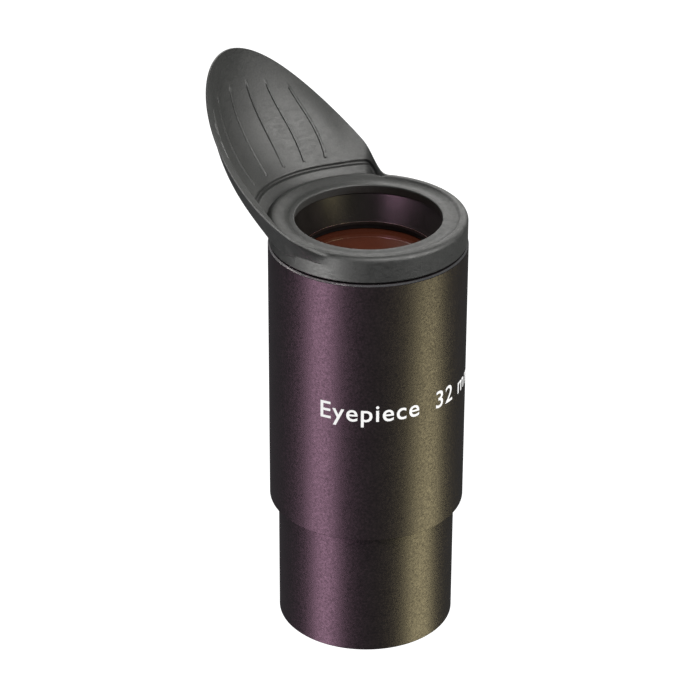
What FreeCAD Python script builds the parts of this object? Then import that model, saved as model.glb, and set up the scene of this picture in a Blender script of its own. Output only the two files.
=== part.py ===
"""A 1.25 inch telescope eyepiece with a winged rubber eyecup, as a parametric FreeCAD document.

Millimetres, +Z towards the eye, origin on the optical axis at the open end of the barrel.
The eyecup's wing stands on the -X side. Every round piece is a revolved sketch whose points
are bound to the spreadsheet "Sizes"; each piece has its own frame and is placed by formula.
"""
import FreeCAD, Part
import math
import os

import Sketcher

SIZES = {
    # barrel: the 1.25 inch tube that goes into the telescope's focuser
    "barrel_diameter": 31.75,
    "barrel_length": 24.4,        # below the shoulder
    "barrel_wall": 1.775,
    "barrel_edge": 0.3,           # edge break at the open end
    "filter_thread_height": 0.175,  # crests of the M28.5 x 0.6 filter thread above the bore
    "filter_thread_depth": 5.0,
    "filter_thread_lead": 0.4,
    "spigot_length": 9.0,         # threaded end that screws into the housing
    "collar_depth": 1.0,          # full-width collar that seats in the housing's mouth
    "collar_relief": 0.6,         # groove under the collar, level with the shoulder
    "spigot_wall": 0.8,
    "stop_ledge": 0.4,            # step in the bore that carries the field stop
    "stop_seat_depth": 8.4,       # below the spigot's top
    # field stop and the tube that holds it down
    "stop_width": 0.97,
    "stop_thickness": 1.5,
    "stop_edge": 0.3,
    "baffle_wall": 0.75,
    "baffle_depth": 0.67,         # knife edge, inwards from the tube
    "baffle_height": 8.5,         # knife edge above the tube's lower end
    "baffle_edge": 0.2,
    # housing
    "housing_diameter": 35.0,
    "housing_length": 50.6,
    "housing_top_edge": 0.35,
    "housing_bottom_edge": 0.15,
    # bezel around the eye lens, with the neck that the eyecup grips
    "bezel_skirt": 0.75,          # wall around the top of the lens cell
    "bezel_depth": 4.6,           # below the housing's top
    "neck_height": 2.7,           # above the housing's top
    "neck_edge": 0.2,
    "neck_wall": 1.8,             # at the cone's mouth
    "cone_depth": 4.8,
    "throat_cover": 1.2,          # the cone's throat reaches this far over the lens's edge
    "throat_land": 0.55,
    "bead_groove_depth": 0.6,
    "bead_groove_width": 1.0,
    "bead_groove_height": 0.9,    # above the housing's top
    # lens cell and lenses: two cemented doublets, crowns facing each other
    "cell_wall": 1.38,
    "cell_lip": 0.8,
    "cell_cover": 1.0,            # the cell's lip over the lens's edge
    "cell_recess": 0.35,          # retaining ring below the cell's end
    "lens_diameter": 26.0,
    "crown_thickness": 9.0,
    "flint_thickness": 2.2,
    "crown_radius": 36.0,
    "cement_radius": 28.0,
    "lens_gap": 0.8,              # between the two crowns, on the axis
    "spacer_wall": 1.0,
    "shim_thickness": 0.15,
    "shim_width": 0.8,
    "retainer_width": 0.8,
    "retainer_height": 2.2,
    "lock_ring_width": 1.62,
    "lock_ring_height": 2.5,
    "spanner_slot_width": 1.2,
    "spanner_slot_depth": 0.9,
    # rubber eyecup
    "eyecup_inset": 0.15,         # its side behind the housing's
    "eyecup_height": 4.25,
    "eyecup_dish": 0.3,           # the top is lower at its outer edge
    "eyecup_top_edge": 0.5,
    "eyecup_lip": 0.6,            # over the cone's mouth
    "eyecup_lip_edge": 0.15,
    "eyecup_bead": 0.7,           # height of the bead that snaps into the bezel's groove
    # wing: a wall that flares upwards, trimmed to a tongue by an arc seen from the side
    "wing_wall": 1.2,
    "wing_root_inset": 0.05,
    "wing_root_height": 3.7,      # above the eyecup's lower face
    "wing_height": 27.2,          # above its root
    "flare_radius": 28.8,
    "flare_rise": 22.03,          # centre of the flare above the root
    "trim_radius": 98.0,
    "trim_rise": 80.85,           # centre of the trimming arc above the root
    "trim_start": 0.8,            # where the trimming arc leaves the root, in front of the axis
    "hinge_height": 2.15,         # fold line above the root
    "hinge_gap": 0.2,
    # clearances
    "screw_clearance": 0.03,      # radial, at threads and slip fits between fixed pieces
    "baffle_spare": 0.5,          # between the baffle tube and the lock ring
    "lens_clearance": 0.04,
    "turn_clearance": 0.06,       # radial, between the neck and the eyecup that turns on it
    "rubber_gap": 0.3,            # eyecup above the housing
    "lip_gap": 0.15,              # eyecup's lip above the neck
}


class Dim:
    """A length that carries its value and the formula that ties it to the spreadsheet."""

    def __init__(self, value, formula):
        self.value = value
        self.formula = formula

    def __add__(self, other):
        other = as_dim(other)
        return Dim(self.value + other.value, f"({self.formula} + {other.formula})")

    def __sub__(self, other):
        other = as_dim(other)
        return Dim(self.value - other.value, f"({self.formula} - {other.formula})")

    def __mul__(self, other):
        other = as_dim(other)
        return Dim(self.value * other.value, f"({self.formula} * {other.formula})")

    def half(self):
        return Dim(self.value / 2, f"({self.formula} / 2)")

    def root(self):
        return Dim(math.sqrt(self.value), f"sqrt({self.formula})")

    def negative(self):
        return Dim(-self.value, f"(0 - {self.formula})")


def as_dim(number):
    return number if isinstance(number, Dim) else Dim(number, str(number))


def leg(hypotenuse, other_leg):
    """The second short side of a right-angled triangle."""
    return (hypotenuse * hypotenuse - other_leg * other_leg).root()


doc = FreeCAD.newDocument("eyepiece")
sheet = doc.addObject("Spreadsheet::Sheet", "Sizes")
for row, (name, value) in enumerate(SIZES.items(), start=1):
    sheet.set(f"A{row}", name)
    sheet.set(f"B{row}", str(value))
    sheet.setAlias(f"B{row}", name)
doc.recompute()

dim = {name: Dim(value, f"Sizes.{name}") for name, value in SIZES.items()}
zero = Dim(0.0, "0")

# radii, from the barrel outwards and from the lenses outwards
barrel_side = dim["barrel_diameter"].half()
barrel_bore = barrel_side - dim["barrel_wall"]
stop_seat_bore = barrel_bore + dim["stop_ledge"]
spigot_side = stop_seat_bore + dim["spigot_wall"]
baffle_side = stop_seat_bore - dim["screw_clearance"]
lens_edge = dim["lens_diameter"].half()
cell_bore = lens_edge + dim["lens_clearance"]
cell_side = cell_bore + dim["cell_wall"]
housing_bore = cell_side + dim["screw_clearance"]
bezel_side = housing_bore + dim["bezel_skirt"]
cone_mouth = bezel_side - dim["neck_wall"]
bead_groove = bezel_side - dim["bead_groove_depth"]
housing_side = dim["housing_diameter"].half()
eyecup_side = housing_side - dim["eyecup_inset"]

# heights of the pieces along the optical axis
shoulder = dim["barrel_length"]
spigot_top = shoulder + dim["spigot_length"]
stop_seat = spigot_top - dim["stop_seat_depth"]
housing_top = shoulder + dim["housing_length"]
bezel_base = housing_top - dim["bezel_depth"]
neck_top = housing_top + dim["neck_height"]
cell_top = neck_top - dim["cone_depth"] - dim["throat_land"]
eye_glass = cell_top - dim["cell_lip"] - dim["shim_thickness"]
doublet = dim["crown_thickness"] + dim["flint_thickness"]
field_glass = eye_glass - doublet - doublet - dim["lens_gap"]
retainer_base = field_glass - dim["shim_thickness"] - dim["retainer_height"]
cell_base = retainer_base - dim["cell_recess"]
lock_ring_base = cell_base - dim["lock_ring_height"]
baffle_base = stop_seat + dim["stop_thickness"]
eyecup_base = housing_top + dim["rubber_gap"]
wing_root = eyecup_base + dim["wing_root_height"]


def new_body(label, height=zero, upside_down=False):
    """A body with its own frame at a height on the axis, turned over for a mirrored piece."""
    body = doc.addObject("PartDesign::Body", label)
    body.Label = label
    turn = FreeCAD.Rotation(FreeCAD.Vector(1, 0, 0), 180 if upside_down else 0)
    body.Placement = FreeCAD.Placement(FreeCAD.Vector(0, 0, height.value), turn)
    body.setExpression("Placement.Base.z", height.formula)
    return body


def new_sketch(body, name, role="XZ_Plane"):
    """An empty sketch on one of the body's own origin planes."""
    sketch = body.newObject("Sketcher::SketchObject", name)
    plane = next(item for item in body.Origin.OriginFeatures if item.Role == role)
    sketch.AttachmentSupport = [(plane, "")]
    sketch.MapMode = "FlatFace"
    return sketch


def bind(sketch, constraint, name, size):
    """Add a dimension to a sketch and tie it to the spreadsheet."""
    index = sketch.addConstraint(constraint)
    sketch.renameConstraint(index, name)
    sketch.setExpression(f"Constraints.{name}", size.formula)


def arc_centre(start, end, arc_radius, side):
    """Centre of an arc through two points, to the left of the way from start to end if side is 1."""
    chord = end - start
    reach = math.sqrt(arc_radius ** 2 - chord.Length ** 2 / 4)
    left = FreeCAD.Vector(-chord.y, chord.x, 0).normalize()
    return start + chord * 0.5 + left * reach * side


def draw_outline(sketch, points, arcs=None):
    """A closed outline through points of (across, up) sizes.

    arcs gives, for the stretch after a point, the arc's radius and the side its centre is on.
    """
    arcs = arcs or {}
    places = [FreeCAD.Vector(across.value, up.value, 0) for across, up in points]
    joints = []
    for index, start in enumerate(places):
        end = places[(index + 1) % len(places)]
        if index in arcs:
            size, side = arcs[index]
            centre = arc_centre(start, end, size.value, side)
            first, last = (start, end) if side > 0 else (end, start)
            angles = [math.atan2(place.y - centre.y, place.x - centre.x) for place in (first, last)]
            if angles[1] < angles[0]:
                angles[1] += 2 * math.pi
            circle = Part.Circle(centre, FreeCAD.Vector(0, 0, 1), size.value)
            edge = sketch.addGeometry(Part.ArcOfCircle(circle, *angles), False)
            joints.append((edge, 1, 2) if side > 0 else (edge, 2, 1))
        else:
            edge = sketch.addGeometry(Part.LineSegment(start, end), False)
            joints.append((edge, 1, 2))
    for (edge, begin, finish), (following, next_begin, next_finish) in zip(joints, joints[1:] + joints[:1]):
        sketch.addConstraint(Sketcher.Constraint("Coincident", edge, finish, following, next_begin))
    for index, ((edge, begin, finish), (across, up)) in enumerate(zip(joints, points)):
        if across.value == 0:
            sketch.addConstraint(Sketcher.Constraint("PointOnObject", edge, begin, -2))
        else:
            place = Sketcher.Constraint("DistanceX", -1, 1, edge, begin, across.value)
            bind(sketch, place, f"across{index}", across)
        if up.value == 0:
            sketch.addConstraint(Sketcher.Constraint("PointOnObject", edge, begin, -1))
        else:
            place = Sketcher.Constraint("DistanceY", -1, 1, edge, begin, up.value)
            bind(sketch, place, f"up{index}", up)
        if index in arcs:
            size = arcs[index][0]
            bind(sketch, Sketcher.Constraint("Radius", edge, size.value), f"round{index}", size)


def revolve(body, name, points, arcs=None):
    """Turn an outline, drawn right of the axis, round the body's Z axis."""
    sketch = new_sketch(body, name + "_outline")
    draw_outline(sketch, points, arcs)
    turned = body.newObject("PartDesign::Revolution", name)
    turned.Profile = sketch
    turned.ReferenceAxis = (sketch, ["V_Axis"])
    turned.Angle = 360
    sketch.Visibility = False
    doc.recompute()
    return turned


def ring_points(inner, outer, height):
    """Outline of a plain ring that stands on its frame."""
    return [(inner, zero), (outer, zero), (outer, height), (inner, height)]


def cut_spanner_slots(body, outer):
    """Two slots across the lower face of a threaded ring, for the fitter's spanner."""
    before = body.Shape.Volume
    sketch = new_sketch(body, "spanner_slot_outline", "XY_Plane")
    half = dim["spanner_slot_width"].half()
    reach = outer + dim["spanner_slot_width"]
    left, low = half.negative(), reach.negative()
    draw_outline(sketch, [(left, low), (half, low), (half, reach), (left, reach)])
    slots = body.newObject("PartDesign::Pocket", "spanner_slots")
    slots.Profile = sketch
    slots.Reversed = True
    slots.setExpression("Length", dim["spanner_slot_depth"].formula)
    sketch.Visibility = False
    doc.recompute()
    if not body.Shape.Volume < before:
        raise RuntimeError(body.Label + ": the spanner slots cut nothing")


def make_barrel():
    body = new_body("barrel")
    edge, lead = dim["barrel_edge"], dim["filter_thread_lead"]
    thread, thread_top = barrel_bore - dim["filter_thread_height"], dim["filter_thread_depth"]
    collar_low, collar_top = shoulder + dim["collar_relief"], shoulder + dim["collar_depth"]
    revolve(body, "turned_tube", [
        (thread + lead, zero), (barrel_side - edge, zero), (barrel_side, edge),
        (barrel_side, shoulder), (spigot_side, shoulder), (spigot_side, collar_low),
        (barrel_side, collar_low), (barrel_side, collar_top), (spigot_side, collar_top),
        (spigot_side, spigot_top),
        (stop_seat_bore, spigot_top), (stop_seat_bore, stop_seat), (barrel_bore, stop_seat),
        (barrel_bore, thread_top), (thread, thread_top), (thread, lead)])


def make_field_stop():
    """A thin ring with a bevelled inner edge, on the ledge inside the barrel."""
    body = new_body("field_stop", stop_seat)
    outer = stop_seat_bore - dim["screw_clearance"]
    aperture, height = outer - dim["stop_width"], dim["stop_thickness"]
    revolve(body, "bevelled_ring", [
        (barrel_bore, zero), (outer, zero), (outer, height),
        (aperture, height), (aperture, height - dim["stop_edge"])])


def make_baffle_tube():
    """A tube screwed into the barrel over the field stop, with one inner knife edge."""
    body = new_body("baffle_tube", baffle_base)
    inner = baffle_side - dim["baffle_wall"]
    knife = inner - dim["baffle_depth"]
    height = lock_ring_base - dim["baffle_spare"] - baffle_base
    middle, edge = dim["baffle_height"], dim["baffle_edge"]
    revolve(body, "knife_edged_tube", [
        (inner, zero), (baffle_side, zero), (baffle_side, height), (inner, height),
        (inner, middle + edge * 2), (knife, middle + edge.half()),
        (knife, middle - edge.half()), (inner, middle - edge * 2)])


def make_housing():
    """The body; its wide lower bore takes the barrel, its narrower upper bore the lens cell."""
    body = new_body("housing", shoulder)
    length = dim["housing_length"]
    top_edge, bottom_edge = dim["housing_top_edge"], dim["housing_bottom_edge"]
    barrel_socket = spigot_side + dim["screw_clearance"]
    bezel_socket = bezel_side + dim["screw_clearance"]
    bezel_floor, step = length - dim["bezel_depth"], lock_ring_base - shoulder
    mouth, mouth_depth = barrel_side + dim["screw_clearance"], dim["collar_depth"]
    revolve(body, "turned_body", [
        (mouth, zero), (housing_side - bottom_edge, zero), (housing_side, bottom_edge),
        (housing_side, length - top_edge), (housing_side - top_edge, length),
        (bezel_socket, length), (bezel_socket, bezel_floor), (housing_bore, bezel_floor),
        (housing_bore, step), (barrel_socket, step), (barrel_socket, mouth_depth),
        (mouth, mouth_depth)])


def make_eye_bezel():
    """The cone around the eye lens; its skirt covers the cell, its neck carries the eyecup."""
    body = new_body("eye_bezel", bezel_base)
    throat = lens_edge - dim["throat_cover"]
    groove_low = dim["bezel_depth"] + dim["bead_groove_height"]
    groove_high = groove_low + dim["bead_groove_width"]
    top, edge = neck_top - bezel_base, dim["neck_edge"]
    rim, ceiling = top - dim["cone_depth"], cell_top - bezel_base
    revolve(body, "turned_cone", [
        (housing_bore, zero), (bezel_side, zero), (bezel_side, groove_low),
        (bead_groove, groove_low), (bead_groove, groove_high), (bezel_side, groove_high),
        (bezel_side, top - edge), (bezel_side - edge, top), (cone_mouth, top),
        (throat, rim), (throat, ceiling), (housing_bore, ceiling)])


def make_lens_cell():
    body = new_body("lens_cell", cell_base)
    lip, height = lens_edge - dim["cell_cover"], cell_top - cell_base
    ledge = height - dim["cell_lip"]
    revolve(body, "lipped_tube", [
        (cell_bore, zero), (cell_side, zero), (cell_side, height), (lip, height),
        (lip, ledge), (cell_bore, ledge)])


def make_doublet(name, height, upside_down):
    """Flint and crown, cemented; the flint's flat face is on the frame and the crown beyond it."""
    cement, front, joint = dim["cement_radius"], dim["crown_radius"], dim["flint_thickness"]
    joint_edge = joint + cement - leg(cement, lens_edge)
    crown_edge = doublet - front + leg(front, lens_edge)
    flint = new_body(name + "_flint", height, upside_down)
    revolve(flint, "flat_and_hollow",
            [(zero, zero), (lens_edge, zero), (lens_edge, joint_edge), (zero, joint)],
            {2: (cement, -1)})
    crown = new_body(name + "_crown", height, upside_down)
    revolve(crown, "double_bulge",
            [(zero, joint), (lens_edge, joint_edge), (lens_edge, crown_edge), (zero, doublet)],
            {0: (cement, 1), 2: (front, 1)})


def make_lens_spacer():
    """A ring whose bore's edges rest on the two crowns."""
    seat, front = lens_edge - dim["spacer_wall"], dim["crown_radius"]
    drop = front - leg(front, seat)
    body = new_body("lens_spacer", field_glass + doublet - drop)
    revolve(body, "ring", ring_points(seat, lens_edge, dim["lens_gap"] + drop * 2))


def make_plain_rings():
    """Shims against the glass, and the two threaded rings that hold the lenses and their cell."""
    shim = dim["shim_thickness"]
    for label, height in (("eye_shim", eye_glass), ("field_shim", field_glass - shim)):
        body = new_body(label, height)
        revolve(body, "ring", ring_points(lens_edge - dim["shim_width"], lens_edge, shim))
    for label, height, outer, width, thickness in (
            ("lens_retaining_ring", retainer_base, lens_edge, "retainer_width", "retainer_height"),
            ("cell_lock_ring", lock_ring_base, cell_side, "lock_ring_width", "lock_ring_height")):
        body = new_body(label, height)
        revolve(body, "ring", ring_points(outer - dim[width], outer, dim[thickness]))
        cut_spanner_slots(body, outer)


# section of the wing's wall: two arcs about one centre, in the eyecup's own frame
flare_up = dim["wing_root_height"] + dim["flare_rise"]
flare_across = eyecup_side - dim["wing_root_inset"] - leg(dim["flare_radius"], dim["flare_rise"])
outer_flare = dim["flare_radius"] + dim["wing_wall"]
fold_line = dim["wing_root_height"] + dim["hinge_height"]


def flare(arc_radius, height):
    """Point on the wing's inner or outer face at a height in the eyecup's frame."""
    return flare_across + leg(arc_radius, flare_up - height), height


def flared_wall(body, inner_low, outer_low, top):
    """A flared wall of revolution from its two lower corners up to a level top."""
    inner = dim["flare_radius"]
    revolve(body, "flared_wall",
            [flare(inner, inner_low), flare(outer_flare, outer_low),
             flare(outer_flare, top), flare(inner, top)],
            {1: (outer_flare, 1), 3: (inner, -1)})


def trim_to_tongue(body, low, high):
    """Take away the wall in front of the trimming arc, seen from the side."""
    before = body.Shape.Volume
    size, start = dim["trim_radius"], dim["trim_start"]
    centre_across = leg(size, dim["trim_rise"]) - start
    centre_up = dim["wing_root_height"] + dim["trim_rise"]
    low_across = centre_across - leg(size, centre_up - low)
    high_across = centre_across - leg(size, centre_up - high)
    far = dim["housing_diameter"] + outer_flare
    sketch = new_sketch(body, "tongue_outline")
    draw_outline(sketch, [(low_across, low), (far, low), (far, high), (high_across, high)],
                 {3: (size, 1)})
    cut = body.newObject("PartDesign::Pocket", "tongue_cut")
    cut.Profile = sketch
    cut.Midplane = True
    cut.setExpression("Length", (far * 2).formula)
    sketch.Visibility = False
    doc.recompute()
    if not body.Shape.Volume < before * 0.7:
        raise RuntimeError(body.Label + ": the trimming arc cut too little")


def make_eyecup_ring():
    """The rubber ring on the neck, with the wing's root up to the fold line."""
    body = new_body("eyecup_ring", eyecup_base)
    height, top_edge = dim["eyecup_height"], dim["eyecup_top_edge"]
    grip, bead_reach = bezel_side + dim["turn_clearance"], bead_groove + dim["turn_clearance"]
    neck_room = neck_top + dim["lip_gap"] - eyecup_base
    bead_middle = dim["bead_groove_height"] + dim["bead_groove_width"].half() - dim["rubber_gap"]
    bead_low = bead_middle - dim["eyecup_bead"].half()
    bead_high = bead_middle + dim["eyecup_bead"].half()
    lip, lip_edge = cone_mouth - dim["eyecup_lip"], dim["eyecup_lip_edge"]
    side_top = height - dim["eyecup_dish"]
    inner_low = dim["wing_root_height"] - top_edge
    flared_wall(body, inner_low, inner_low - dim["wing_wall"], fold_line - dim["hinge_gap"].half())
    trim_to_tongue(body, zero, height * 2)
    revolve(body, "grip_ring", [
        (grip, zero), (eyecup_side, zero), (eyecup_side, side_top - top_edge),
        (eyecup_side - top_edge, side_top), (lip + lip_edge, height), (lip, height - lip_edge),
        (cone_mouth, neck_room), (grip, neck_room), (grip, bead_high),
        (bead_reach, bead_high), (bead_reach, bead_low), (grip, bead_low)])


def make_eyecup_wing():
    """The flared tongue above the fold line."""
    body = new_body("eyecup_wing", eyecup_base)
    low = fold_line + dim["hinge_gap"].half()
    top = dim["wing_root_height"] + dim["wing_height"]
    flared_wall(body, low, low, top)
    trim_to_tongue(body, low - dim["wing_wall"], top + dim["wing_wall"])


make_barrel()
make_field_stop()
make_baffle_tube()
make_housing()
make_eye_bezel()
make_lens_cell()
make_doublet("field", field_glass, False)
make_doublet("eye", eye_glass, True)
make_lens_spacer()
make_plain_rings()
make_eyecup_ring()
make_eyecup_wing()
doc.recompute()

for item in doc.Objects:
    if {"Invalid", "Error"} & set(item.State):
        raise RuntimeError(f"{item.Label} failed: {item.State}")

os.makedirs("parts", exist_ok=True)
for body in doc.findObjects("PartDesign::Body"):
    shape = body.Shape
    if shape.isNull() or not shape.isValid() or len(shape.Solids) != 1:
        raise RuntimeError(body.Label + " is not one valid solid")
    shape.exportStep(f"parts/{body.Label}.step")
    box = shape.BoundBox
    print(f"{body.Label:20s} z {box.ZMin:7.2f} to {box.ZMax:7.2f}, {shape.Volume:9.2f} mm3")
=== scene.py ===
# %% [markdown]
# # A telescope eyepiece with a winged rubber eyecup
#
# The solid model gives the sizes: barrel, housing, bezel, lenses and the rubber's place. This
# file gives the looks. The turned metal is remade as smooth lathe surfaces whose edges are
# really rounded, the rubber eyecup becomes one moulding with its fold line and ribs, and the
# glass, the anodising and the rubber each get a material of their own.

# %% Load the frame
import math

import bmesh
import bpy
import numpy as np
from mathutils import Matrix, Vector


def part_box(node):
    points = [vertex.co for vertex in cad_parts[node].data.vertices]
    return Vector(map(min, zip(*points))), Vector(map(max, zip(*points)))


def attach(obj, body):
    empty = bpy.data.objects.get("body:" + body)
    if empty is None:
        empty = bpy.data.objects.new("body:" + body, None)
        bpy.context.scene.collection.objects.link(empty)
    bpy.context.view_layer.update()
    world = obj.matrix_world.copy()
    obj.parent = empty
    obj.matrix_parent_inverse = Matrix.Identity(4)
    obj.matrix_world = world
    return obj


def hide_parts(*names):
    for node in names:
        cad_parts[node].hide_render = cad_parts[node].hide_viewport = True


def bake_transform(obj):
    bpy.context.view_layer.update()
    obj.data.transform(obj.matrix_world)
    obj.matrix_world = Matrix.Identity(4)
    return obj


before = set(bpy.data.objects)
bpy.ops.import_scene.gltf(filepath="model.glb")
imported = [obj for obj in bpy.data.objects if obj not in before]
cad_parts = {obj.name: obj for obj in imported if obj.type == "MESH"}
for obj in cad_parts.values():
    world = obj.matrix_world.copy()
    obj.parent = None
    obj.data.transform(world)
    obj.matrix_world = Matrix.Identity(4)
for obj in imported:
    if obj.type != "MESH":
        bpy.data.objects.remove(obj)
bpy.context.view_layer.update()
MM = 0.001


# %% [markdown]
# ## Where the real pieces are
#
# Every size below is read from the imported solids, so a piece made here sits where the solid
# model says. Heights run up the optical axis, and radii are measured from it.

# %% Read sizes from the solids
def heights(node):
    """Lowest and highest point of a node on the optical axis, in millimetres."""
    low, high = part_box(node)
    return low.z / MM, high.z / MM


def outer_radius(node):
    """Half the width of a round node, in millimetres."""
    low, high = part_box(node)
    return (high.y - low.y) / 2 / MM


SHOULDER, HOUSING_TOP = heights("housing")
BARREL_SIDE, HOUSING_SIDE = outer_radius("barrel"), outer_radius("housing")
SPIGOT_TOP = heights("barrel")[1]
NECK_TOP, LENS_EDGE = heights("eye_bezel")[1], outer_radius("eye_crown")
EYECUP_LOW = heights("eyecup_ring")[0]
FOLD_LOW, FOLD_HIGH = heights("eyecup_ring")[1], heights("eyecup_wing")[0]
WING_TOP = heights("eyecup_wing")[1]
print(f"housing {HOUSING_SIDE:.2f}, barrel {BARREL_SIDE:.3f}, "
      f"fold {FOLD_LOW:.2f} to {FOLD_HIGH:.2f} mm")


# %% [markdown]
# ## Putting a surface into Blender
#
# All the shapes are numpy arrays first: a grid of points, rows along one parameter and columns
# along the other. One helper turns a grid that closes on itself into a mesh. It measures the
# volume that the faces enclose and turns them round if it comes out negative, so that every
# face points outwards.

# %% Grid to mesh
def signed_volume(points, quads):
    """Volume enclosed by faces: a sum of tetrahedra from the origin, negative if inside out."""
    a, b, c, d = (points[quads[:, k]] for k in range(4))
    first = np.einsum("ij,ij->i", a, np.cross(b, c))
    second = np.einsum("ij,ij->i", a, np.cross(c, d))
    return float((first + second).sum() / 6)


def mesh_piece(name, points, quads, sharp=35):
    """An object at the origin from points in millimetres and four-cornered faces."""
    if signed_volume(points, quads) < 0:
        quads = quads[:, ::-1]
    mesh = bpy.data.meshes.new(name)
    mesh.vertices.add(len(points))
    mesh.vertices.foreach_set("co", (points * MM).astype(np.float32).ravel())
    mesh.loops.add(quads.size)
    mesh.loops.foreach_set("vertex_index", quads.astype(np.int32).ravel())
    mesh.polygons.add(len(quads))
    mesh.polygons.foreach_set("loop_start", np.arange(len(quads), dtype=np.int32) * 4)
    mesh.update(calc_edges=True)
    mesh.validate()
    mesh.shade_smooth()
    mesh.set_sharp_from_angle(angle=math.radians(sharp))
    piece = bpy.data.objects.new(name, mesh)
    bpy.context.scene.collection.objects.link(piece)
    print(f"{name}: {len(quads)} faces, {signed_volume(points, quads):.1f} mm3")
    return piece


def ring_quads(columns, rows):
    """Faces of a grid that closes on itself both ways, like a doughnut."""
    i, j = np.meshgrid(np.arange(columns), np.arange(rows), indexing="ij")
    following, above = (i + 1) % columns, (j + 1) % rows
    return np.stack([i * rows + j, following * rows + j,
                     following * rows + above, i * rows + above], axis=-1).reshape(-1, 4)


# %% [markdown]
# ## Turned pieces
#
# Barrel, housing and bezel are cut on a lathe, so each one is an outline carried round the
# axis. A real lathe leaves no perfectly sharp edge: the outline's corners get small arcs, and
# these thin bands are what catches the light on black metal. Two extra points beside every arc
# keep the long straight runs flat, because smooth shading would otherwise bend their light.

# %% Outline with rounded corners
def rounded_outline(corners, arc_points=5, keep=0.03):
    """A closed outline from (radius, height, rounding) corners.

    Each corner is replaced by an arc that touches both its sides: the arc's centre lies on the
    line that halves the corner's angle, and its ends are rounding / tan(half the angle) away.
    """
    outline = []
    place = np.array([corner[:2] for corner in corners], float)
    for index, (here, rounding) in enumerate(zip(place, (corner[2] for corner in corners))):
        before, after = place[index - 1] - here, place[(index + 1) % len(place)] - here
        before, after = before / np.linalg.norm(before), after / np.linalg.norm(after)
        half = math.acos(np.clip(before @ after, -1, 1)) / 2
        if rounding == 0:
            outline.append(here[None])
            continue
        reach = rounding / math.tan(half)
        inward = (before + after) / np.linalg.norm(before + after)
        middle = here + inward * rounding / math.sin(half)
        first, last = here + before * reach - middle, here + after * reach - middle
        turn = np.linspace(0, 1, arc_points)[:, None]
        whole = math.pi - 2 * half
        arc = (np.sin((1 - turn) * whole) * first + np.sin(turn * whole) * last) / math.sin(whole)
        outline.append(np.vstack([here + before * (reach + keep), middle + arc,
                                  here + after * (reach + keep)]))
    return np.vstack(outline)


def lathe(name, corners, columns):
    """Carry an outline round the axis: x = r cos a, y = r sin a, z = height."""
    outline = rounded_outline(corners)
    angle = np.arange(columns) / columns * 2 * np.pi
    radius, height = outline[:, 0], outline[:, 1]
    points = np.stack([np.outer(np.cos(angle), radius), np.outer(np.sin(angle), radius),
                       np.broadcast_to(height, (columns, len(height)))], axis=-1).reshape(-1, 3)
    return mesh_piece(name, points, ring_quads(columns, len(outline)))


# %% [markdown]
# ## Black anodised aluminium
#
# The metal is blasted with fine beads and then dyed black. The dyed skin reflects like a hard
# varnish, so the shader isn't a metallic one. It is nearly black head on, and the blasted
# grain spreads every reflection into a broad satin band with a little sparkle in it. A noise at
# the grain's size drives the bump and the roughness, which is what makes the sparkle; a larger,
# weaker one keeps the black from being perfectly even.

# %% Node helpers
def new_material(name, **sockets):
    """A Principled material with constant values set on the shader's own sockets."""
    material = bpy.data.materials.new(name)
    material.use_nodes = True
    shader = material.node_tree.nodes["Principled BSDF"]
    for socket, value in sockets.items():
        shader.inputs[socket.replace("_", " ")].default_value = value
    return material, material.node_tree, shader


def grain(tree, size_mm, detail=2.0, stretch=(1, 1, 1)):
    """Noise with features of a given size, on the piece's own Object coordinates."""
    place = tree.nodes.new("ShaderNodeTexCoord")
    mapping = tree.nodes.new("ShaderNodeMapping")
    mapping.inputs["Scale"].default_value = stretch
    noise = tree.nodes.new("ShaderNodeTexNoise")
    noise.inputs["Scale"].default_value = 1 / (size_mm * MM)
    noise.inputs["Detail"].default_value = detail
    tree.links.new(place.outputs["Object"], mapping.inputs["Vector"])
    tree.links.new(mapping.outputs["Vector"], noise.inputs["Vector"])
    return noise.outputs["Fac"]


NOISE_LOW, NOISE_HIGH = 0.3, 0.7


def spread(tree, factor, low, high):
    """Turn a noise, whose values mostly lie in the noise's range, into one from low to high."""
    node = tree.nodes.new("ShaderNodeMapRange")
    for socket, value in (("From Min", NOISE_LOW), ("From Max", NOISE_HIGH), ("To Min", low),
                          ("To Max", high)):
        node.inputs[socket].default_value = value
    tree.links.new(factor, node.inputs["Value"])
    return node.outputs["Result"]


def blend_colours(tree, factor, first, second):
    """Mix two colours; each is either a socket or three numbers."""
    node = tree.nodes.new("ShaderNodeMix")
    node.data_type = "RGBA"
    for socket, colour in (("A", first), ("B", second)):
        if isinstance(colour, bpy.types.NodeSocket):
            tree.links.new(colour, node.inputs[socket])
        else:
            node.inputs[socket].default_value = (*colour, 1)
    tree.links.new(factor, node.inputs["Factor"])
    return node.outputs["Result"]


def tones(tree, factor, dark, light):
    """Turn a noise into a colour between dark and light."""
    return blend_colours(tree, spread(tree, factor, 0, 1), dark, light)


def bumps(tree, shader, *layers):
    """Chain bumps onto a shader's normal; each layer is a height and its depth in millimetres."""
    normal = None
    for height, depth_mm in layers:
        node = tree.nodes.new("ShaderNodeBump")
        node.inputs["Distance"].default_value = depth_mm * MM
        tree.links.new(height, node.inputs["Height"])
        if normal is not None:
            tree.links.new(normal, node.inputs["Normal"])
        normal = node.outputs["Normal"]
    tree.links.new(normal, shader.inputs["Normal"])


# %% Anodised finishes
PATCH_MM, SMOOTHER, ROUGHER = 3.0, 0.11, 0.09


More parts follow.
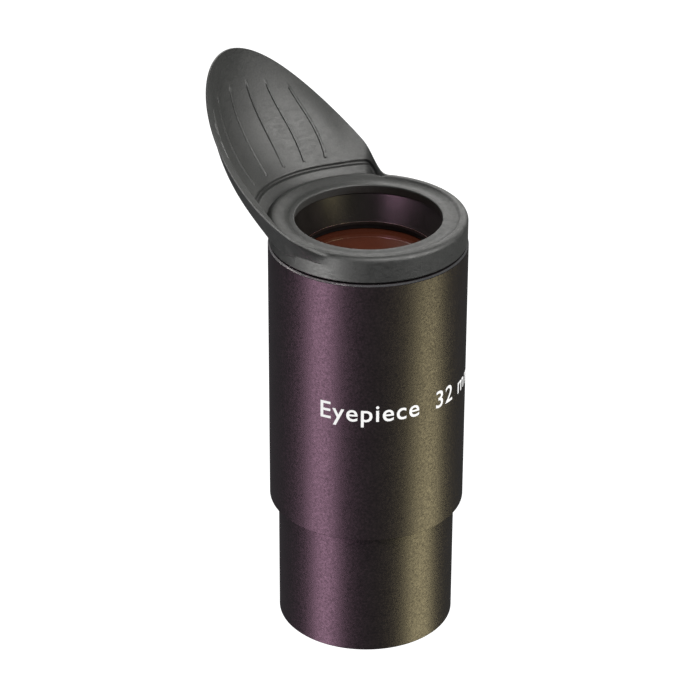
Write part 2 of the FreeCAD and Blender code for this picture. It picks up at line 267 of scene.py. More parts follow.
def anodised(name, dark, light, roughness, grain_mm=0.4, depth_mm=0.016):
    """Bead-blasted, dyed aluminium: fine grain in bump and roughness, broad patches in tone."""
    material, tree, shader = new_material(name, Metallic=0.0, IOR=1.55)
    fine, patches = grain(tree, grain_mm, 3.0), grain(tree, PATCH_MM)
    tree.links.new(tones(tree, patches, dark, light), shader.inputs["Base Color"])
    tree.links.new(spread(tree, fine, roughness - SMOOTHER, roughness + ROUGHER),
                   shader.inputs["Roughness"])
    bumps(tree, shader, (fine, depth_mm))
    return material


body_metal = anodised("body_metal", (0.014, 0.011, 0.012), (0.020, 0.016, 0.017), 0.42)
cone_metal = anodised("cone_metal", (0.010, 0.009, 0.008), (0.016, 0.014, 0.013), 0.40,
                      grain_mm=0.32, depth_mm=0.025)
inner_metal = anodised("inner_metal", (0.006, 0.006, 0.006), (0.010, 0.010, 0.010), 0.7)
print("three anodised finishes")


# %% [markdown]
# ## Barrel
#
# The barrel slides into the focuser, so it is plain outside. Its mouth has the fine thread that
# filters screw into: 0.6 mm from crest to crest. The thread is a real helix: the radius of the
# bore falls and rises once per turn of pitch, and shifts by one pitch per turn round the axis.

# %% Barrel with its filter thread
THREAD_PITCH, THREAD_DEPTH, THREAD_LEAD = 0.6, 0.32, 0.5
THREAD_HIGH, BORE, STOP_SEAT = 5.0, 14.1, heights("field_stop")[0]
SEAT_BORE, SPIGOT_SIDE = outer_radius("field_stop") + 0.03, outer_radius("field_stop") + 0.83


def barrel_grid(columns=288, thread_rows=96):
    """Lathe grid of the barrel; the bore's radius in the thread is a rounded saw along a helix."""
    edge = 0.12
    shell = rounded_outline([
        (BARREL_SIDE - 0.3, 0, edge), (BARREL_SIDE, 0.3, edge), (BARREL_SIDE, SHOULDER, 0.05),
        (SPIGOT_SIDE, SHOULDER, 0.05), (SPIGOT_SIDE, SPIGOT_TOP, edge),
        (SEAT_BORE, SPIGOT_TOP, edge), (SEAT_BORE, STOP_SEAT, 0.05), (BORE, STOP_SEAT, 0.05),
        (BORE, THREAD_HIGH + THREAD_PITCH, 0)])
    rise = np.linspace(THREAD_HIGH, 0.0, thread_rows)
    angle = np.arange(columns) / columns * 2 * np.pi
    phase = rise[None, :] / THREAD_PITCH - angle[:, None] / (2 * np.pi)
    saw = np.abs((phase % 1) * 2 - 1)
    crest = np.clip(saw * 1.5 - 0.2, 0, 1)
    lead_in = np.clip((THREAD_LEAD - rise) / THREAD_LEAD, 0, 1)
    fade = np.clip((THREAD_HIGH - rise) / 0.5, 0, 1) * (1 - lead_in)
    radius = BORE + 0.15 - THREAD_DEPTH * crest * fade + 0.25 * lead_in
    radius = np.hstack([np.broadcast_to(shell[:, 0], (columns, len(shell))), radius])
    height = np.hstack([np.broadcast_to(shell[:, 1], (columns, len(shell))),
                        np.broadcast_to(rise, (columns, thread_rows))])
    angle = angle[:, None]
    points = np.stack([radius * np.cos(angle), radius * np.sin(angle), height], -1)
    return points.reshape(-1, 3), ring_quads(columns, radius.shape[1])


barrel = mesh_piece("barrel_tube", *barrel_grid())
barrel.data.materials.append(body_metal)
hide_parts("barrel")
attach(barrel, "optical_body")


# %% [markdown]
# ## Housing
#
# The wide body is one plain cylinder. Its top edge is broken by a small chamfer that shows as
# a bright line under the rubber, and its lower edge by an even smaller one at the shoulder. The
# bright line is a painted highlight, made together with the bezel's hairline.

# %% Housing
SOCKET, HOUSING_BORE = SPIGOT_SIDE + 0.03, outer_radius("lens_cell") + 0.03
BEZEL_SIDE, BEZEL_LOW = outer_radius("eye_bezel"), heights("eye_bezel")[0]
STEP, COLLAR = heights("cell_lock_ring")[0], 1.0
LOW_CHAMFER, TOP_CHAMFER, SLIP = 0.15, 0.35, 0.03
housing = lathe("housing_body", [
    (BARREL_SIDE + SLIP, SHOULDER, 0.0), (HOUSING_SIDE - LOW_CHAMFER, SHOULDER, 0.06),
    (HOUSING_SIDE, SHOULDER + LOW_CHAMFER, 0.06), (HOUSING_SIDE, HOUSING_TOP - TOP_CHAMFER, 0.1),
    (HOUSING_SIDE - TOP_CHAMFER, HOUSING_TOP, 0.1), (BEZEL_SIDE + SLIP, HOUSING_TOP, 0.05),
    (BEZEL_SIDE + SLIP, BEZEL_LOW, 0.0), (HOUSING_BORE, BEZEL_LOW, 0.0),
    (HOUSING_BORE, STEP, 0.0), (SOCKET, STEP, 0.0), (SOCKET, SHOULDER + COLLAR, 0.0),
    (BARREL_SIDE + SLIP, SHOULDER + COLLAR, 0.0)], columns=384)
housing.data.materials.append(body_metal)
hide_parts("housing")
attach(housing, "optical_body")


# %% [markdown]
# ## Bezel
#
# Inside the rubber a black cone leads down to the eye lens. Its throat ends in a crisp edge that
# shows as one bright hairline around the glass, and the housing's top edge shows another. Both
# are painted highlights: a second, bright bare-metal material on the few faces that lie along an
# edge stands in for the light caught there, and needs no mask to be painted.

# %% Bright edges as painted highlights
def highlight_faces(piece, finish, radius, height, reach):
    """Give the faces within reach of the edge at (radius, height) the bright metal painted
    highlight.
    """
    centres = np.empty(len(piece.data.polygons) * 3)
    piece.data.polygons.foreach_get("center", centres)
    centres = centres.reshape(-1, 3) / MM
    near = np.hypot(np.hypot(centres[:, 0], centres[:, 1]) - radius, centres[:, 2] - height) < reach
    piece.data.materials.append(finish)
    piece.data.polygons.foreach_set("material_index", near.astype(np.int32))
    print(near.sum(), "bare faces on", piece.name)


# bright bare metal on an edge's few faces: a painted highlight that shows as one bright hairline
bare_metal_highlight, tree, shader = new_material("bare_metal_highlight", Metallic=1.0)
tree.links.new(tones(tree, grain(tree, 0.5), (0.80, 0.77, 0.75), (0.92, 0.90, 0.88)),
               shader.inputs["Base Color"])
tree.links.new(spread(tree, grain(tree, 1.5), 0.26, 0.36), shader.inputs["Roughness"])


# %% Bezel
CONE_MOUTH, THROAT, RIM = BEZEL_SIDE - 1.8, LENS_EDGE - 1.2, NECK_TOP - 4.8
CELL_TOP = heights("lens_cell")[1]
GROOVE_LOW, GROOVE_HIGH, GROOVE_DEPTH = HOUSING_TOP + 0.9, HOUSING_TOP + 1.9, 0.6
bezel = lathe("bezel_cone", [
    (HOUSING_BORE, BEZEL_LOW, 0.0), (BEZEL_SIDE, BEZEL_LOW, 0.1), (BEZEL_SIDE, GROOVE_LOW, 0.0),
    (BEZEL_SIDE - GROOVE_DEPTH, GROOVE_LOW, 0.0), (BEZEL_SIDE - GROOVE_DEPTH, GROOVE_HIGH, 0.0),
    (BEZEL_SIDE, GROOVE_HIGH, 0.05), (BEZEL_SIDE, NECK_TOP, 0.2), (CONE_MOUTH, NECK_TOP, 0.1),
    (THROAT, RIM, 0.12), (THROAT, CELL_TOP, 0.0), (HOUSING_BORE, CELL_TOP, 0.0)], columns=320)
bezel.data.materials.append(cone_metal)
highlight_faces(bezel, bare_metal_highlight, THROAT, RIM, 0.2)
highlight_faces(housing, bare_metal_highlight, HOUSING_SIDE, HOUSING_TOP, 0.26)
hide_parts("eye_bezel")
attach(bezel, "optical_body")


# %% [markdown]
# ## Eyecup
#
# The eyecup is one piece of soft rubber: a ring that grips the bezel's neck, and a tongue-like
# wing that flares up and out on one side to keep stray light away from the eye. A cloth or a
# subdivided cage could give the rough form, but it follows simple curves: the wing's wall is an
# arc turned round the axis, which straightens towards the sides, its rim is where that arc meets
# a second one seen from the side, a channel across its foot lets it fold, and nine thin ribs fan
# up its inner face.
#
# So the whole eyecup is a grid. A column is a slice through the axis at one angle, and goes
# once round the section: up the outside, over the rim, down the inside, across the ring's top,
# over the lip and back through the bore.

# %% The wing's curves
ROOT, RING_SIDE = EYECUP_LOW + 3.7, HOUSING_SIDE - 0.15
ROOT_RADIUS = RING_SIDE - 0.05
FLARE_RADIUS, FLARE_RISE = 28.8, 22.03
FLARE_UP = ROOT + FLARE_RISE
FLARE_ACROSS = ROOT_RADIUS - math.sqrt(FLARE_RADIUS ** 2 - FLARE_RISE ** 2)
TRIM_RADIUS, TRIM_RISE, TRIM_FOOT = 98.0, 80.85, 0.8
TRIM_UP = ROOT + TRIM_RISE
TRIM_ACROSS = TRIM_FOOT - math.sqrt(TRIM_RADIUS ** 2 - TRIM_RISE ** 2)


def flare_radius(height):
    """Distance of the wall's inner face from the axis.

    It is the arc centre's distance plus sqrt(arc radius^2 - (centre height - height)^2).
    """
    return FLARE_ACROSS + np.sqrt(FLARE_RADIUS ** 2 - (FLARE_UP - height) ** 2)


def trim_reach(height):
    """How far from the axis the rim lies at a height, seen from the side: another arc."""
    return TRIM_ACROSS + np.sqrt(TRIM_RADIUS ** 2 - (TRIM_UP - height) ** 2)


print(f"wing root at {ROOT:.2f} mm, flare centre {FLARE_ACROSS:.2f} mm from the axis")


# %% [markdown]
# ## Columns of the eyecup
#
# Angles are counted from the middle of the wing, both ways round. Most columns are evenly
# spaced, but a thin rib needs a column at each of its edges to look crisp, so the ribs bring
# their own. Higher up, the columns lean towards the middle together with the ribs, which
# converge a little, so that a rib's edge always runs along a column.

# %% Angles
RIB_STEP, RIBS_EACH_SIDE, RIB_CONVERGE = 12.3, 4, 0.25
RIB_LOW, RIB_HIGH, RIB_PROUD, RIB_HALF_WIDTH = 82.5, 98.8, 0.2, 0.24
rib_angles = np.arange(-RIBS_EACH_SIDE, RIBS_EACH_SIDE + 1) * RIB_STEP
RIB_RADIUS, LEAN_FULL, LEAN_FADE = 21.4, 50, 40
MM_PER_DEGREE = math.radians(RIB_RADIUS)


def eyecup_columns():
    """Angles in degrees: fine across the wing, finer where its foot curls, plus eight per rib."""
    spaced = np.concatenate([np.arange(-180, -100, 1.6), np.arange(-100, -66, 0.45),
                             np.arange(-66, 66, 0.8), np.arange(66, 100, 0.45),
                             np.arange(100, 180, 1.6)])
    edges = np.array([-1.1, -0.32, -0.2, -0.08, 0.08, 0.2, 0.32, 1.1]) / MM_PER_DEGREE
    edges[[0, -1]] = [-1.1, 1.1]
    near_rib = np.abs(spaced[:, None] - rib_angles).min(1) < 1.3
    return np.sort(np.concatenate([spaced[~near_rib], (rib_angles[:, None] + edges).ravel()]))


def ease(amount):
    """Smooth step: 3 a^2 - 2 a^3, held at 0 below 0 and at 1 above 1."""
    amount = np.clip(amount, 0, 1)
    return amount * amount * (3 - 2 * amount)


def lean(column, height):
    """Angle of a column at a height: it converges by a share that grows along the ribs."""
    share = ease((height - RIB_LOW) / (RIB_HIGH - RIB_LOW)) * RIB_CONVERGE
    return column * (1 - share * (1 - ease((np.abs(column) - LEAN_FULL) / LEAN_FADE)))


def rim_heights(columns):
    """Height of the rim on each column, where the wall's inner face meets the trimming arc.

    The face is inside the arc from the foot up to one crossing, which a straight line between
    the two nearest sampled heights places exactly enough.
    """
    rise = np.linspace(ROOT - 0.5, WING_TOP, 900)
    past = flare_radius(rise) * np.cos(np.radians(
        lean(columns[:, None], rise[None, :]))) - trim_reach(rise)
    last = np.clip((past > 0).cumprod(1).sum(1), 1, len(rise) - 1)
    here = np.arange(len(columns))
    below, above = past[here, last - 1], past[here, last]
    share = np.clip(below / np.where(below == above, 1, below - above), 0, 1)
    return np.maximum(rise[last - 1] + share * (rise[1] - rise[0]), ROOT + 0.05)


columns = eyecup_columns()
rims = rim_heights(columns)
print(f"{len(columns)} columns, rim between {rims.min():.2f} and {rims.max():.2f} mm")


# %% [markdown]
# ## Rows of the eyecup
#
# One section of the wing is a curved line for its inner face, and everything else is measured
# squarely off that line: the outer face lies one wall's thickness behind it, the fold line is
# a channel pressed into it, whose ends turn down towards the ring, and a rib stands up from it.

# %% The channel and the ribs
FOLD_LINE, CHANNEL_DEPTH, CHANNEL_HALF_WIDTH = (FOLD_LOW + FOLD_HIGH) / 2, 0.45, 0.4
CHANNEL_END, CHANNEL_CORNER, CHANNEL_LEG, CHANNEL_FLOOR = 26.0, 1.1, 2.0, 0.12
FOLD_RADIUS, LEG_LEAN, LEG_REACH, RISE_STRETCH = 19.9, 0.55, 9, 1.25
RIB_TOP_DROP, RIB_OUTERMOST, RIB_FLANK = 3.7, 49.2, 0.14


def channel_depth(angle, height):
    """Depth of the fold line: a rounded trough about a line with rounded corners and short legs.

    The distance is taken to the level stretch, to a quarter circle at each corner, or to the
    leg below it, whichever the point lies beside; the trough's section is a smooth step.
    """
    drop = np.clip(FOLD_LINE - height, 0, LEG_REACH)
    along = np.abs(np.radians(angle)) * FOLD_RADIUS - drop * LEG_LEAN
    above = (height - FOLD_LINE) * RISE_STRETCH
    x, y = along - (CHANNEL_END - CHANNEL_CORNER), above + CHANNEL_CORNER
    level = np.abs(above)
    corner = np.abs(np.hypot(x, y) - CHANNEL_CORNER)
    leg = np.hypot(along - CHANNEL_END, np.clip(-above - CHANNEL_LEG, 0, None))
    distance = np.where(x < 0, level, np.where(y > 0, corner, leg))
    return CHANNEL_DEPTH * (1 - ease((distance - CHANNEL_FLOOR) / CHANNEL_HALF_WIDTH))


def rib_height(column, height):
    """Height of the ribs: a flat top with steep sides, square at the foot and fading at the top."""
    nearest = np.abs(column[..., None] - rib_angles).min(-1) * MM_PER_DEGREE
    across = 1 - ease((nearest - (RIB_HALF_WIDTH - 0.06)) / RIB_FLANK)
    top = RIB_HIGH - RIB_TOP_DROP * (np.abs(column) / RIB_OUTERMOST) ** 3
    along = ease((height - RIB_LOW) / 0.15) * ease((top - height) / 0.9)
    return RIB_PROUD * across * along * (np.abs(column) < RIB_OUTERMOST + 1.8)


print("channel and ribs: deepest", CHANNEL_DEPTH, "mm, proudest", RIB_PROUD, "mm")


# %% Wing section
LOW_ROWS, HIGH_ROWS, OUTER_ROWS, CAP_ROWS = 44, 38, 34, 11
LOW_SPAN, FOOT_LIFT, OUTER_START = 4.4, 0.35, -0.8
WALL, SIDE_THINNER, EDGE_WALL, SIDE_WALL, STRAIGHT_BY = 1.2, 0.5, 0.3, 0.45, 62


def wall_shape(columns, rims, height):
    """Radius of the wall's inner face, and the slope of its section.

    In the middle of the wing the section is the flare's arc. Towards the sides it straightens
    into the chord from the root to the rim, so the wall always leans outwards.
    """
    rim, arc = rims[:, None], flare_radius(height)
    chord_slope = (flare_radius(rim) - ROOT_RADIUS) / (rim - ROOT)
    arc_slope = (FLARE_UP - height) / (arc - FLARE_ACROSS)
    chord = ROOT_RADIUS + chord_slope * (height - ROOT)
    arched = 1 - ease(np.abs(columns) / STRAIGHT_BY)[:, None]
    return chord + arched * (arc - chord), chord_slope + arched * (arc_slope - chord_slope)


def wall_thickness(rims, height):
    """Thickness: it thins evenly from the root to a fine edge.

    Towards the wing's sides, where the rim is low, the root is thinner and the edge thicker.
    """
    side, end = ease((92.5 - rims) / 6), ease((rims - 80.3) / 3.5)
    edge = EDGE_WALL + (SIDE_WALL - EDGE_WALL) * side * end
    share = np.clip((height - ROOT) / (rims[:, None] - ROOT), 0, 1)
    root = (WALL - SIDE_THINNER * ease((93.0 - rims) / 7))[:, None]
    return root + (edge[:, None] - root) * share


def offset(columns, rims, height, outward):
    """Point off the inner face, square to its section; height is where it leaves the face."""
    radius, slope = wall_shape(columns, rims, height)
    size = np.sqrt(1 + slope ** 2)
    return radius + outward / size, height - outward * slope / size


def wing_rows(columns, rims):
    """Radius and height of the wing's rows on every column, outside first, and the painted shade.

    The outer rows climb in even steps, one wall's thickness off the inner face. The rim is a
    squarish half round, drawn as a superellipse about the middle of the edge. The inner rows
    come down evenly to a set height above the foot, then closely spaced, where the channel is.
    The painted shade is 1 on the channel's floor and 0 away from it.
    """
    rim = rims[:, None]
    start = ROOT + OUTER_START
    climb = start + (rim - start) * np.linspace(0, 1, OUTER_ROWS)[None, :]
    outside = offset(columns, rims, climb, wall_thickness(rims, climb))
    outside = (np.maximum(outside[0], RING_SIDE), outside[1])
    turn = np.linspace(0, np.pi, CAP_ROWS + 2)[1:-1][None, :]
    out, up = np.cos(turn), np.sin(turn) ** 0.7
    out = np.sign(out) * np.abs(out) ** 0.7
    half = wall_thickness(rims, rim) / 2
    face = offset(columns, rims, rim + 0 * turn, half * (1 + out))
    slope = wall_shape(columns, rims, rim)[1]
    beyond = half * up * 0.8 / np.sqrt(1 + slope ** 2)
    cap = (face[0] + beyond * slope, face[1] + beyond)
    length = np.maximum(rim - ROOT - FOOT_LIFT, 0.02)
    low = LOW_SPAN * length / (length + LOW_SPAN * np.exp(-length / LOW_SPAN))
    high_share = np.linspace(1, 0, HIGH_ROWS, endpoint=False)[None, :]
    low_share = np.linspace(1, 0, LOW_ROWS)[None, :]
    height = ROOT + FOOT_LIFT + np.hstack([low + (length - low) * high_share, low * low_share])
    column = np.broadcast_to(columns[:, None], height.shape)
    clear = ease((rim - height) / 0.5)
    channel, rib = channel_depth(column, height) * clear, rib_height(column, height) * clear
    inside = offset(columns, rims, height, channel - rib)
    smooth_rows = np.zeros((len(columns), OUTER_ROWS + CAP_ROWS))
    radius, height = [np.hstack(part) for part in zip(outside, cap, inside)]
    # the channel's depth, scaled to 1, becomes painted shade in the fold line
    return radius, height, np.hstack([smooth_rows, channel / CHANNEL_DEPTH])


# %% [markdown]
# The rest of the section is the ring: the same outline all the way round, with a dished top,
# a lip over the bezel's edge and a bead that snaps into the bezel's groove. Away from the wing
# the wing's rows shrink into the ring's rounded top edge, so that the rim dies into the ring in
# one smooth hollow and the grid needs no second mesh. The radius shrinks a little sooner than
# the height does, which keeps the wing's ends from hanging over the ring.

# %% Ring section
RING_EDGE, BORE_SIDE = 0.9, BEZEL_SIDE + 0.06
LIP, LIP_UNDER, TOP_DIP = 12.8, 13.15, 0.35
TOP_OUTER, TOP_INNER, TOP_WIDTH = EYECUP_LOW + 4.75, EYECUP_LOW + 4.35, 0.75
SIDE_TOP, SHELF, BEAD = ROOT - 1.55, EYECUP_LOW + 2.55, BORE_SIDE - 0.6
FADE_START, FADE_SPAN, TUCK, TOP_ROWS = 70, 18, 1.6, 19


def plain_rows(count):
    """The wing's rows on the plain ring: the side's top, the rounded edge, then the flat top."""
    side = np.stack([np.full(OUTER_ROWS, RING_SIDE),
                     np.linspace(SIDE_TOP, TOP_OUTER - RING_EDGE, OUTER_ROWS)])
    turn = np.linspace(0, np.pi / 2, CAP_ROWS + 2)[1:-1]
    edge = np.stack([RING_SIDE - RING_EDGE + RING_EDGE * np.cos(turn),
                     TOP_OUTER - RING_EDGE + RING_EDGE * np.sin(turn)])
    across = np.linspace(0, 1, count - OUTER_ROWS - CAP_ROWS)
    top = np.stack([RING_SIDE - RING_EDGE - 0.35 * across, TOP_OUTER + 0.02 * across])
    return np.hstack([side, edge, top])


def ring_rows():
    """The rest of the outline: from the top's edge over the lip, down the bore and up the side."""
    return rounded_outline([
        (LIP + 0.62, TOP_INNER - 0.053, 0), (LIP, TOP_INNER, 0.25), (LIP_UNDER, SHELF, 0.12),
        (BORE_SIDE, SHELF, 0.1), (BORE_SIDE, EYECUP_LOW + 1.65, 0.1), (BEAD, EYECUP_LOW + 1.5, 0.1),
        (BEAD, EYECUP_LOW + 0.75, 0.1), (BORE_SIDE, EYECUP_LOW + 0.6, 0.1),
        (BORE_SIDE, EYECUP_LOW, 0.15), (RING_SIDE, EYECUP_LOW, 0.3),
        (RING_SIDE, SIDE_TOP - 0.07, 0)])


def eyecup_grid(columns, rims):
    """Whole eyecup as (columns x rows) points: x = -r cos a, y = -r sin a.

    The angle a is the column's own, leaning with the ribs. The painted shade comes with the points.
    """
    wing_radius, wing_height, painted_shade = wing_rows(columns, rims)
    plain_radius, plain_height = plain_rows(wing_radius.shape[1])
    fade = ease((np.abs(columns) - FADE_START) / FADE_SPAN)[:, None]
    reach = (1 - fade) ** TUCK
    radius = wing_radius * reach + plain_radius * (1 - reach)
    height = wing_height * (1 - fade) + plain_height * fade
    hollow = np.linspace(0, 1, TOP_ROWS)[None, 1:] ** 1.5
    foot_radius, foot_height = radius[:, -1:], height[:, -1:]
    top_radius = foot_radius + (LIP + TOP_WIDTH - foot_radius) * hollow
    across = np.clip((top_radius - LIP) / (RING_SIDE - RING_EDGE - LIP), 0, 1)
    slope = TOP_INNER + (TOP_OUTER - TOP_INNER) * across - TOP_DIP * np.sin(np.pi * across) ** 2
    level = foot_height + (slope - foot_height) * ease(hollow * 4.5)
    ring = ring_rows()
    ring = np.broadcast_to(ring.T[:, None, :], (2, len(columns), len(ring)))
    radius = np.hstack([radius, top_radius, ring[0]])
    height = np.hstack([height, level, ring[1]])
    # painted shade in the ring's inner corner, along a line just inside the wing's foot
    corner = np.exp(-((foot_radius - top_radius - 0.25) / 0.45) ** 2) * (1 - fade)
    painted_shade = np.hstack([painted_shade * (1 - fade), corner, np.zeros((len(columns), ring.shape[2]))])
    angle = np.radians(lean(columns[:, None], height))
    points = np.stack([-radius * np.cos(angle), -radius * np.sin(angle), height], -1)
    return points.reshape(-1, 3), ring_quads(len(columns), radius.shape[1]), painted_shade.ravel()


*grid, painted_shade = eyecup_grid(columns, rims)
eyecup = mesh_piece("eyecup_moulding", *grid, sharp=50)
# the painted shade is kept on the mesh as a value for each point
painted_shade_values = eyecup.data.attributes.new("painted_shade", "FLOAT", "POINT")
painted_shade_values.data.foreach_set("value", painted_shade.astype(np.float32))


# %% [markdown]
# ## Rubber
#
# Moulded rubber is matt and slightly grey with handling. A fine speckle keeps it from looking
# like plastic, a broad mottling is the bloom that comes to the surface with age, and faint
# scuffs change the roughness. The fold line and the ring's inner corner carry painted shade:
# they are darker than the lights alone make them, because the mesh carries a painted shade
# value for each point, and the material darkens the colour by it.

# %% Rubber finish
def rubber_finish():
    """Dark grey rubber: mottled, then flecked, then darkened by the painted shade value."""
    material, tree, shader = new_material("eyecup_rubber", Metallic=0.0, IOR=1.5,
                                          Specular_IOR_Level=0.5)
    speckle, bloom = grain(tree, 0.35, 4.0), grain(tree, 6.0, 3.0)
    scuffs = grain(tree, 1.2, 5.0, (1, 1, 3))
    mottled = tones(tree, bloom, (0.034, 0.036, 0.033), (0.052, 0.054, 0.050))
    flecks = spread(tree, speckle, 0.0, 0.3)
    flecked = blend_colours(tree, flecks, mottled, (0.085, 0.087, 0.080))
    # painted shade: the colour goes to near black where the value is 1
    hollow = tree.nodes.new("ShaderNodeAttribute")
    hollow.attribute_name = "painted_shade"
    shaded = blend_colours(tree, hollow.outputs["Fac"], flecked, (0.012, 0.013, 0.011))
    tree.links.new(shaded, shader.inputs["Base Color"])
    tree.links.new(spread(tree, scuffs, 0.46, 0.62), shader.inputs["Roughness"])
    bumps(tree, shader, (speckle, 0.02), (scuffs, 0.015))
    return material


eyecup.data.materials.append(rubber_finish())
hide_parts("eyecup_ring", "eyecup_wing")
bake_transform(eyecup)


# %% [markdown]
# ## Glass and the inner parts
#
# The solid lenses stay. Their surfaces are coated against reflections, and what the coating
# does reflect is amber. The outer lens lets no light through here: its dark, warm colour under a
# clear coat is painted shade for the deep tube behind it and a painted amber reflection of the
# coating. The inner lenses are mostly clear.

# %% Lens and inner finishes
def glass_finish(name, tint, weight):
    """Coated glass: a tint with a faint haze; weight is the share of light it lets through."""
    material, tree, shader = new_material(name, Metallic=0.0, IOR=1.6, Transmission_Weight=weight,
                                          Coat_Weight=0.8, Coat_Roughness=0.02)
    haze = grain(tree, 2.5, 3.0)
    tree.links.new(tones(tree, haze, tint, [value * 1.15 for value in tint]),
                   shader.inputs["Base Color"])
    tree.links.new(spread(tree, haze, 0.02, 0.05), shader.inputs["Roughness"])
    return material


# the outer lens's colour is painted shade of the tube behind it and a painted amber reflection
eye_glass = glass_finish("coated_eye_glass", (0.062, 0.016, 0.008), 0.0)
inner_glass = glass_finish("coated_inner_glass", (0.9, 0.72, 0.62), 0.8)
GLASS = ("eye_crown", "field_flint", "field_crown")
TURNED = ("lens_cell", "field_stop", "baffle_tube", "lens_spacer", "lens_retaining_ring",
          "cell_lock_ring", "eye_shim", "field_shim")
FINISH = {"eye_flint": eye_glass, **dict.fromkeys(GLASS, inner_glass),
          **dict.fromkeys(TURNED, inner_metal)}
for node, finish in FINISH.items():
    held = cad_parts[node]
    held.data.materials.clear()
    held.data.materials.append(finish)
print(len(FINISH), "solid pieces keep their own mesh")


# %% [markdown]
# ## Printing
#
# The housing carries a line of white screen printing. Here it says only what the part is, in
# plain words and numbers. The text is made a mesh first and cut into narrow strips, so that it
# can be bent round the cylinder: across becomes an angle, up stays up.

# %% Printed line
CAP_HEIGHT, PRINT_LOW, INK, PRINT_START, STRIP = 3.3, SHOULDER + 24.2, 0.02, -101.0, 0.4
BOLDER, WIDER = 0.008, 1.1


def printed_line(name, words, start_degrees):
    """Flat text bent round the housing: angle = start + across / radius, radius = side + ink."""
    curve = bpy.data.curves.new(name, "FONT")
    curve.body, curve.size, curve.resolution_u = words, 1.0, 6
    curve.offset, curve.space_character = BOLDER, WIDER
    flat = bpy.data.objects.new(name + "_flat", curve)
    bpy.context.scene.collection.objects.link(flat)
    bpy.context.view_layer.update()
    graph = bpy.context.evaluated_depsgraph_get()
    mesh = bpy.data.meshes.new_from_object(flat.evaluated_get(graph))
    bpy.data.objects.remove(flat)
    shape = bmesh.new()
    shape.from_mesh(mesh)
    bpy.data.meshes.remove(mesh)
    size = CAP_HEIGHT / max(vert.co.y for vert in shape.verts)
    width = max(vert.co.x for vert in shape.verts) * size
    for cut in np.arange(0.3, width, STRIP):
        bmesh.ops.bisect_plane(shape, geom=shape.verts[:] + shape.edges[:] + shape.faces[:],
                               plane_co=(cut / size, 0, 0), plane_no=(1, 0, 0))
    bmesh.ops.triangulate(shape, faces=shape.faces[:])
    mesh = bpy.data.meshes.new(name)
    shape.to_mesh(mesh)
    shape.free()
    flat_points = np.empty(len(mesh.vertices) * 3)
    mesh.vertices.foreach_get("co", flat_points)
    across, up = flat_points.reshape(-1, 3)[:, :2].T * size
    angle = math.radians(start_degrees) + across / HOUSING_SIDE
    radius = HOUSING_SIDE + INK
    bent = np.stack([radius * np.cos(angle), radius * np.sin(angle), PRINT_LOW + up], -1) * MM
    mesh.vertices.foreach_set("co", bent.ravel())
    mesh.update()
    piece = bpy.data.objects.new(name, mesh)
    bpy.context.scene.collection.objects.link(piece)
    print(f"{name}: {width:.1f} mm round the side")
    return piece


def ink_finish():
    """White ink, slightly uneven as a screen leaves it; a glow real ink lacks keeps it white."""
    material, tree, shader = new_material("white_ink", Metallic=0.0, Emission_Strength=0.55)
    shader.inputs["Emission Color"].default_value = (1, 1, 1, 1)
    patchy = grain(tree, 0.4, 2.0)
    tree.links.new(tones(tree, patchy, (0.82, 0.82, 0.80), (0.95, 0.95, 0.93)),
                   shader.inputs["Base Color"])
    tree.links.new(spread(tree, patchy, 0.45, 0.6), shader.inputs["Roughness"])
    return material


printing = printed_line("printed_words", "Eyepiece  32 mm  1.25 in", PRINT_START)
printing.data.materials.append(ink_finish())
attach(printing, "optical_body")


# %% [markdown]
# ## Studio
#
# The world is white to the camera and dim to everything else, so the part stands before plain
# white and area lights do the rest. Two tinted strips, one purple and one olive, are mirrored
# down the cylinder; the black finish itself has no such tint. Satin metal and matt rubber want
# different lights, so each light reaches only the pieces in its own collection, and some add
# only sheen or only soft light. Under plainer light the part looks plainer. The camera's place
# and directions, and the powers of the lights on the rubber, were worked out by a fit outside
# this file and rounded, and one of those powers was then changed. There is no floor, so
# the underside can be seen.

# %% Camera
CAMERA_PLACE = Vector((0.13823, -0.44431, 0.30290))
FORWARD, RIGHT = (-0.26733, 0.83969, -0.47272), (0.95212, 0.30571, 0.00460)
UP = (-0.14838, 0.44885, 0.88120)
camera_data = bpy.data.cameras.new("camera")
camera_data.lens, camera_data.sensor_width = 153.1, 36
camera = bpy.data.objects.new("camera", camera_data)
camera.matrix_world = Matrix([[RIGHT[k], UP[k], -FORWARD[k], CAMERA_PLACE[k]] for k in range(3)]
                             + [[0, 0, 0, 1]])
bpy.context.scene.collection.objects.link(camera)
bpy.context.scene.camera = camera
CAMERA_SIDE = math.degrees(math.atan2(CAMERA_PLACE.y, CAMERA_PLACE.x))
print(f"camera stands at {CAMERA_SIDE:.2f} degrees")


# %% Lights
AIM = Vector((0, 0, 0.05))


def area_light(name, turn, rise, distance, size, power, colour, rays, only):
    """Rectangle light: turn is degrees from the camera's side, rise degrees above the part.

    The light adds to the rays named in rays, and reaches only the pieces in one collection.
    """
    around, up = math.radians(CAMERA_SIDE + turn), math.radians(rise)
    place = AIM + distance * Vector((math.cos(around) * math.cos(up),
                                     math.sin(around) * math.cos(up), math.sin(up)))
    data = bpy.data.lights.new(name, "AREA")
    data.shape, data.size, data.size_y = "RECTANGLE", *size
    data.energy, data.color = power, colour
    light = bpy.data.objects.new(name, data)
    light.location = place
    light.rotation_euler = (AIM - place).to_track_quat("-Z", "Y").to_euler()
    light.visible_diffuse, light.visible_glossy = "diffuse" in rays, "glossy" in rays
    light.visible_camera = light.visible_transmission = False
    light.light_linking.receiver_collection = only
    bpy.context.scene.collection.objects.link(light)


def reached(name, members):
    """A collection that holds the pieces a light may reach."""
    group = bpy.data.collections.new(name)
    for member in members:
        group.objects.link(member)
    return group


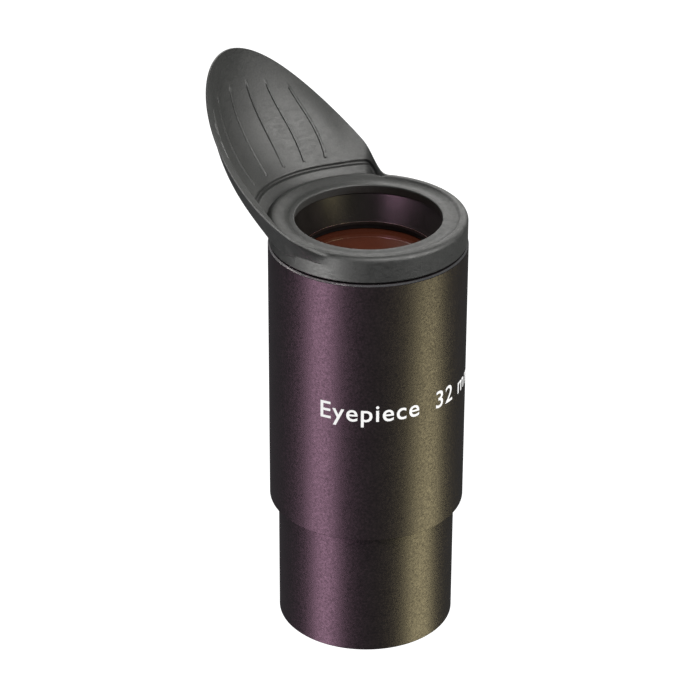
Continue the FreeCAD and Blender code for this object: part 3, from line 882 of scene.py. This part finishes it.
PURPLE, OLIVE, WHITE = (1.0, 0.56, 0.81), (1.0, 0.85, 0.47), (1.0, 0.985, 0.97)
SOFT, SHEEN, BOTH = ("diffuse",), ("glossy",), ("diffuse", "glossy")
metal = reached("turned_metal", [housing, barrel, bezel])
rubber = reached("moulded_rubber", [eyecup])
cone = reached("black_cone", [bezel])
hard = reached("all_but_rubber", [piece for piece in bpy.data.objects
                                  if piece.type == "MESH" and piece is not eyecup])
for light in (
        ("strip_left", -54, -14, 0.7, (0.34, 1.1), 7.0, PURPLE, SHEEN, metal),
        ("strip_right", 74, -36, 0.35, (0.18, 0.20), 0.62, OLIVE, SHEEN, metal),
        ("cone_left", -42, 16, 0.5, (0.16, 0.3), 3.6, PURPLE, SHEEN, cone),
        ("cone_right", 56, 16, 0.5, (0.16, 0.3), 0.5, OLIVE, SHEEN, cone),
        ("top_soft", -140, 62, 0.8, (0.6, 0.6), 6.0, WHITE, BOTH, hard),
        ("left_soft", -75, 25, 0.8, (0.6, 0.6), 2.0, WHITE, SOFT, hard),
        ("right_soft", 48, 50, 0.8, (0.6, 0.6), 6.0, WHITE, SOFT, hard),
        ("wing_right", 80, 25, 0.8, (0.6, 0.6), 3.8, WHITE, SOFT, rubber),
        ("wing_back_high", 180, 60, 0.8, (0.6, 0.6), 2.8, WHITE, SOFT, rubber),
        ("sheen_left", -54, -14, 0.7, (0.34, 1.1), 13, WHITE, SHEEN, rubber),
        ("sheen_front", 18, 50, 0.8, (0.6, 0.55), 8.0, WHITE, SHEEN, rubber),
        ("sheen_back", 180, 32, 0.8, (1.3, 0.45), 6.6, WHITE, SHEEN, rubber),
        ("sheen_front_right", 60, 20, 0.8, (0.5, 0.5), 8.1, WHITE, SHEEN, rubber)):
    area_light(*light)


# %% White surroundings
SEEN_WHITE, SOFT_FILL = 1.2, 0.09
world = bpy.data.worlds.new("studio")
world.use_nodes = True
bpy.context.scene.world = world
nodes, links = world.node_tree.nodes, world.node_tree.links
nodes.clear()
path, seen, dim = (nodes.new(kind) for kind in ("ShaderNodeLightPath", "ShaderNodeBackground",
                                                "ShaderNodeBackground"))
for backdrop, colour, strength in ((seen, (1, 1, 1, 1), SEEN_WHITE),
                                   (dim, (0.9, 0.95, 1, 1), SOFT_FILL)):
    backdrop.inputs["Color"].default_value = colour
    backdrop.inputs["Strength"].default_value = strength
mixer, output = nodes.new("ShaderNodeMixShader"), nodes.new("ShaderNodeOutputWorld")
links.new(path.outputs["Is Camera Ray"], mixer.inputs[0])
links.new(dim.outputs[0], mixer.inputs[1])
links.new(seen.outputs[0], mixer.inputs[2])
links.new(mixer.outputs[0], output.inputs["Surface"])
bpy.context.scene.view_settings.view_transform = "Standard"
print("white to the eye at", SEEN_WHITE, "and a fill of", SOFT_FILL)
